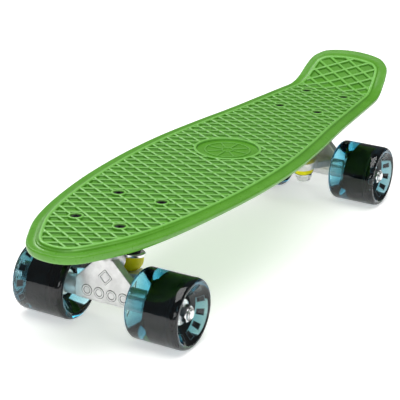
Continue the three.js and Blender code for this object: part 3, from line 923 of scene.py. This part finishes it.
def kingpin_pieces(end):
    spot = truck_matrix(end) @ ALONG_KINGPIN
    pin = rod("pin", KINGPIN_RADIUS - 0.05, -10, 42)
    joined(pin, threaded("thread", KINGPIN_RADIUS - 0.05, 1.06, -20.3, -9))
    head = hex_blank(15.4, 40.2, 45.7, 1.0)
    joined(pin, head)
    finished(pin, f"{end}_kingpin_bolt", f"{end}_kingpin", "deck_body", ZINC, spot)
    flip = Matrix.Rotation(math.pi, 4, "X")
    nut = placed(lock_nut(14.3, 12.9, 19.9, 5.0, 3.2, 6.9), flip)
    finished(nut, f"{end}_kingpin_lock_nut", f"{end}_kingpin_nut", "deck_body", ZINC, spot)
    insert = placed(nylon_ring(4.95, 18.0, 19.6, 6.1), flip)
    finished(insert, f"{end}_kingpin_nut_nylon", None, "deck_body", NYLON, spot)
    upper = softened([
        (5.1, 4.3, 0.3), (8.6, 4.3, 1.5), (13, 9.3, 4.5), (13, 17.6, 0.8), (5.1, 17.6, 0.3),
    ], 7)
    lower = softened([
        (5.1, -10.8, 0.3), (9.4, -10.8, 0.8), (10.5, -9, 0.8), (10.5, -4.3, 0.8), (5.1, -4.3, 0.3),
    ], 5)
    for part, profile, far in (("upper", upper, 17.6), ("lower", lower, -10.8)):
        bushing = turned("bushing", profile)
        made = finished(bushing, f"{end}_bushing_{part}_urethane", f"{end}_bushing_{part}", None,
                        YELLOW, spot)
        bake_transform(made)
    cup = softened([
        (5.1, 17.9, 0.2), (13.3, 17.9, 0.3), (13.3, 16.7, 0.2), (14.2, 16.7, 0.4), (14.2, 19.1, 1.4),
        (13.3, 20.1, 1.0), (5.1, 20.1, 0.3),
    ])
    finished(turned("cup", cup), f"{end}_cup_washer", f"{end}_washer_upper", "deck_body",
             STEEL, spot)
    flat = softened([(5.1, -12.6, 0.2), (9.6, -12.6, 0.4), (9.6, -11.1, 0.4), (5.1, -11.1, 0.2)])
    finished(turned("flat", flat), f"{end}_lower_washer", f"{end}_washer_lower", "deck_body",
             STEEL, spot)


def phillips(depth):
    """The cross that a screwdriver fits, pointing down from z = 0."""
    arms = []
    for turn in (0, math.pi / 2):
        wide = [(-2.5, -0.55), (2.5, -0.55), (2.5, 0.55), (-2.5, 0.55)]
        narrow = [(-1.0, -0.3), (1.0, -0.3), (1.0, 0.3), (-1.0, 0.3)]
        corners = [(*p, 0.5) for p in wide] + [(*p, -depth) for p in narrow]
        faces = [[0, 1, 2, 3], [4, 5, 6, 7]]
        faces += [[i, (i + 1) % 4, (i + 1) % 4 + 4, i + 4] for i in range(4)]
        arms.append(placed(closed_mesh("arm", corners, faces), Matrix.Rotation(turn, 4, "Z")))
    return joined(arms[0], arms[1])


def deck_hardware(end):
    flip = Matrix.Rotation(math.pi, 4, "X")
    for number in range(4):
        spot = truck_matrix(end) @ bolt_spot(number)
        bolt = turned("bolt", softened([
            (0, 80), (BOLT_RADIUS, 80), (BOLT_RADIUS, BOLT_SEAT), (BOLT_HEAD, BOLT_SEAT, 0.3),
            (BOLT_HEAD, BOLT_TOP - 0.75, 0.6), (BOLT_HEAD - 1, BOLT_TOP - 0.15, 1.2), (0, BOLT_TOP),
        ]), SMALL)
        joined(bolt, threaded("thread", BOLT_RADIUS, 0.8, BOLT_END, 81, 0.25, 32))
        cut(bolt, placed(phillips(2.0), Matrix.Translation((0, 0, BOLT_TOP - 0.15))))
        finished(bolt, f"{end}_deck_bolt_{number + 1}_screw", f"{end}_deck_bolt_{number + 1}", "deck_body",
                 BOLT_BLACK, spot)
        nut = placed(lock_nut(9.5, -82.4, -77.4, 2.6, 1.9, 4.2), flip)
        finished(nut, f"{end}_deck_nut_{number + 1}_lock", f"{end}_deck_nut_{number + 1}", "deck_body",
                 ZINC, spot)


# ---------------------------------------------------------------- wheels
# Heights are outward from the middle of the wheel's width.
TYRE = [
    (13.2, -10.6), (13.9, -11.2, 0.5), (24.6, -24.25, 2.5), (27.4, -24.25, 1.4), (30, -21.6, 2.2),
    (30, 20.6, 2.6), (28.4, 23.9, 2.0), (25.6, 24.25, 1.4), (14.1, 13.7, 0.6), (13.2, 13.1),
    (13.2, 12.4), (21.2, 12.4, 0.4), (21.2, -6.5, 0.4), (13.2, -6.5),
]
CORE_PROFILE = [
    (11.15, -10.9, 0.3), (13.5, -10.9, 0.3), (13.5, -6.75), (21.5, -6.75, 0.7), (21.5, 12.65, 0.7),
    (13.5, 12.65), (13.5, 13.4, 0.3), (11.15, 13.4, 0.3), (11.15, 6.05), (9.3, 6.05, 0.3),
    (9.3, -3.55, 0.3), (11.15, -3.55),
]
DISH_RIM = 26.0  # the outer face is dished inside this radius
DISH_FLOOR = 13.0
WASHER_THICK = 0.9
NUT_FACE = 14.45  # the axle nut's seat, outward from the middle of the wheel
PRINT_BARS = 11
PRINT_STEPS = 6
BEARING_RADIUS = 11.0
BEARING_BORE = 4.05
BEARING_WIDTH = 7.0
INNER_BEARING = -10.75
OUTER_BEARING = 6.25


def bearing(face):
    """Races and pressed shields of a ball bearing, whose inboard face is at the given height."""
    side = [
        (BEARING_BORE, 0.0, 0.25), (6.1, 0.0, 0.2), (6.1, 0.45), (6.4, 0.45), (6.4, 0.2, 0.1),
        (7.0, 0.2, 0.2), (7.3, 0.5, 0.2), (8.7, 0.5, 0.2), (9.0, 0.25, 0.15), (9.3, 0.25), (9.3, 0.0),
        (BEARING_RADIUS, 0.0, 0.5),
    ]
    low = [(r, face + h, *rest) for r, h, *rest in side]
    high = [(r, face + BEARING_WIDTH - h, *rest) for r, h, *rest in reversed(side)]
    return turned("bearing", softened(low + high, 3), FINE)


def wheel_spot(name):
    """Where a wheel's middle lies, with the outward side of its axle along +Z."""
    low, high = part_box(f"{name}_tyre")
    middle = (low + high) / 2 / MM
    outward = math.copysign(1, middle.y)
    turn = Matrix.Rotation(-outward * math.pi / 2, 4, "X")
    return Matrix.Translation((middle.x, middle.y, AXLE_HEIGHT)) @ turn


def tyre_piece(name, spot):
    tyre = turned("tyre", softened(TYRE, 6), 2 * FINE)
    # Marks the dished outer face for its painted shade.
    painted_dish_shade = tyre.data.attributes.new("painted_dish_shade", "FLOAT", "POINT")
    dished = [v.co.z > DISH_FLOOR and v.co.xy.length < DISH_RIM for v in tyre.data.vertices]
    painted_dish_shade.data.foreach_set("value", [float(d) for d in dished])
    finished(tyre, f"{name}_tyre_urethane", f"{name}_tyre", name, TEAL, spot, 25)


def on_the_axle(name, spot):
    """The spacer and speed washers, which stay with the axle while the wheel turns."""
    body = f"{name.split('_')[0]}_hanger_body"
    spacer = softened([(4.1, -3.6, 0.2), (5.2, -3.6, 0.3), (5.2, 6.1, 0.3), (4.1, 6.1, 0.2)])
    finished(turned("spacer", spacer, SMALL), f"{name}_bearing_spacer", None, body,
             ZINC, spot)
    for part, low in (("inner", -11.7), ("outer", 13.3)):
        high = low + WASHER_THICK
        washer = softened([(4.1, low, 0.15), (5.8, low, 0.2), (5.8, high, 0.2), (4.1, high, 0.15)])
        finished(turned("washer", washer, SMALL), f"{name}_speed_washer_{part}", None, body,
                 STEEL, spot)


def wheel(name):
    spot = wheel_spot(name)
    tyre_piece(name, spot)
    core = turned("core", softened(CORE_PROFILE, 3), FINE)
    finished(core, f"{name}_core_moulding", f"{name}_core", name, CORE, spot)
    for part, face in (("inner", INNER_BEARING), ("outer", OUTER_BEARING)):
        finished(bearing(face), f"{name}_bearing_{part}_races", f"{name}_bearing_{part}", name,
                 STEEL, spot, 25)
    wheel_print(name, spot)
    on_the_axle(name, spot)
    return spot


def print_bars(inner, outer, share, thick):
    """Bars round the dished outer face of a tyre, which fill a share of the way round."""
    out = Vector((inner.y - outer.y, outer.x - inner.x)).normalized() * thick
    section = [inner - out, outer - out, outer + out, inner + out]
    corners, faces = [], []
    for bar in range(PRINT_BARS):
        first = len(corners)
        for k in range(PRINT_STEPS + 1):
            a = 2 * math.pi * (bar + share * (k / PRINT_STEPS - 0.5)) / PRINT_BARS
            corners += [(p.x * math.cos(a), p.x * math.sin(a), p.y) for p in section]
        for k in range(PRINT_STEPS):
            for i in range(4):
                a, b = first + 4 * k + i, first + 4 * k + (i + 1) % 4
                faces.append([a, b, b + 4, a + 4])
        last = first + 4 * PRINT_STEPS
        faces += [[first + i for i in range(4)], [last + i for i in range(4)]]
    return closed_mesh("print", corners, faces)


def wheel_print(name, spot):
    """A ring of plain printed bars, dark on a pale edge."""
    pale = print_bars(Vector((17.3, 16.5)), Vector((22.7, 21.25)), 0.46, 0.08)
    dark = print_bars(Vector((17.8, 16.95)), Vector((22.2, 20.8)), 0.38, 0.14)
    finished(pale, f"{name}_print_edge", None, name, PALE_INK, spot)
    finished(dark, f"{name}_print", None, name, PAINT, spot)


def axle_nut_piece(end, side, spot):
    nut = lock_nut(12.7, NUT_FACE, NUT_FACE + 6.8, 4.25, 2.2, 5.6)
    body = f"{end}_hanger_body"
    finished(nut, f"{end}_{side}_axle_lock_nut", f"{end}_{side}_axle_nut", body,
             STEEL, spot)
    insert = nylon_ring(4.1, NUT_FACE + 5.0, NUT_FACE + 6.3, 5.0)
    finished(insert, f"{end}_{side}_axle_nut_nylon", None, body, NYLON, spot)


# ---------------------------------------------------------------- camera, light and floor
def camera():
    data = bpy.data.cameras.new("camera")
    data.sensor_width = 36
    data.lens = 129.1
    made = bpy.data.objects.new("camera", data)
    made.location = (1.0948, 0.5700, 0.5114)
    made.rotation_euler = [math.radians(a) for a in (69.455, -1.650, 119.180)]
    bpy.context.scene.collection.objects.link(made)
    bpy.context.scene.camera = made


def lamp(name, place, target, size, power):
    data = bpy.data.lights.new(name, "AREA")
    data.shape = "RECTANGLE"
    data.size, data.size_y = size
    data.energy = power
    made = bpy.data.objects.new(name, data)
    made.location = place
    aim = Vector(target) - Vector(place)
    made.rotation_mode = "QUATERNION"
    made.rotation_quaternion = aim.to_track_quat("-Z", "Y")
    bpy.context.scene.collection.objects.link(made)
    return made


def surroundings():
    world = bpy.data.worlds.new("studio")
    world.use_nodes = True
    background = world.node_tree.nodes["Background"]
    background.inputs["Color"].default_value = (1, 1, 1, 1)
    background.inputs["Strength"].default_value = 0.15
    bpy.context.scene.world = world
    lamp("overhead", (0.45, 0.2, 1.8), (0, 0, 0), (2.0, 1.6), 36)
    lamp("behind", (-0.9, -1.5, 1.3), (0, 0, 0.05), (0.9, 0.6), 9)
    lamp("in_front", (1.9, 0.9, 0.45), (0, 0, 0.1), (1.6, 0.45), 5)
    outline = [(-4, -4, 0), (4, -4, 0), (4, 4, 0), (-4, 4, 0)]
    floor = closed_mesh("floor", outline, [[0, 1, 2, 3]])
    m = Material("floor_paper")
    m.set(Base_Color=m.ramp(m.noise(3, 2), (0.90, 0.90, 0.90), (0.93, 0.93, 0.93)))
    m.set(Roughness=m.span(m.noise(40, 3), 0.75, 0.9), Specular_IOR_Level=0.2)
    m.set(Emission_Color=(1.0, 1.0, 1.0), Emission_Strength=0.5)
    floor.data.materials.append(m.made)
    floor.location.z = -0.0002
    bpy.context.scene.view_settings.view_transform = "Standard"


# ---------------------------------------------------------------- the build
camera()
surroundings()
deck_piece()
for end in ("front", "rear"):
    baseplate_piece(end)
    pivot_cup_piece(end)
    hanger_piece(end)
    axle_piece(end)
    kingpin_pieces(end)
    deck_hardware(end)
    for side in ("left", "right"):
        place = wheel(f"{end}_{side}_wheel")
        axle_nut_piece(end, side, place)
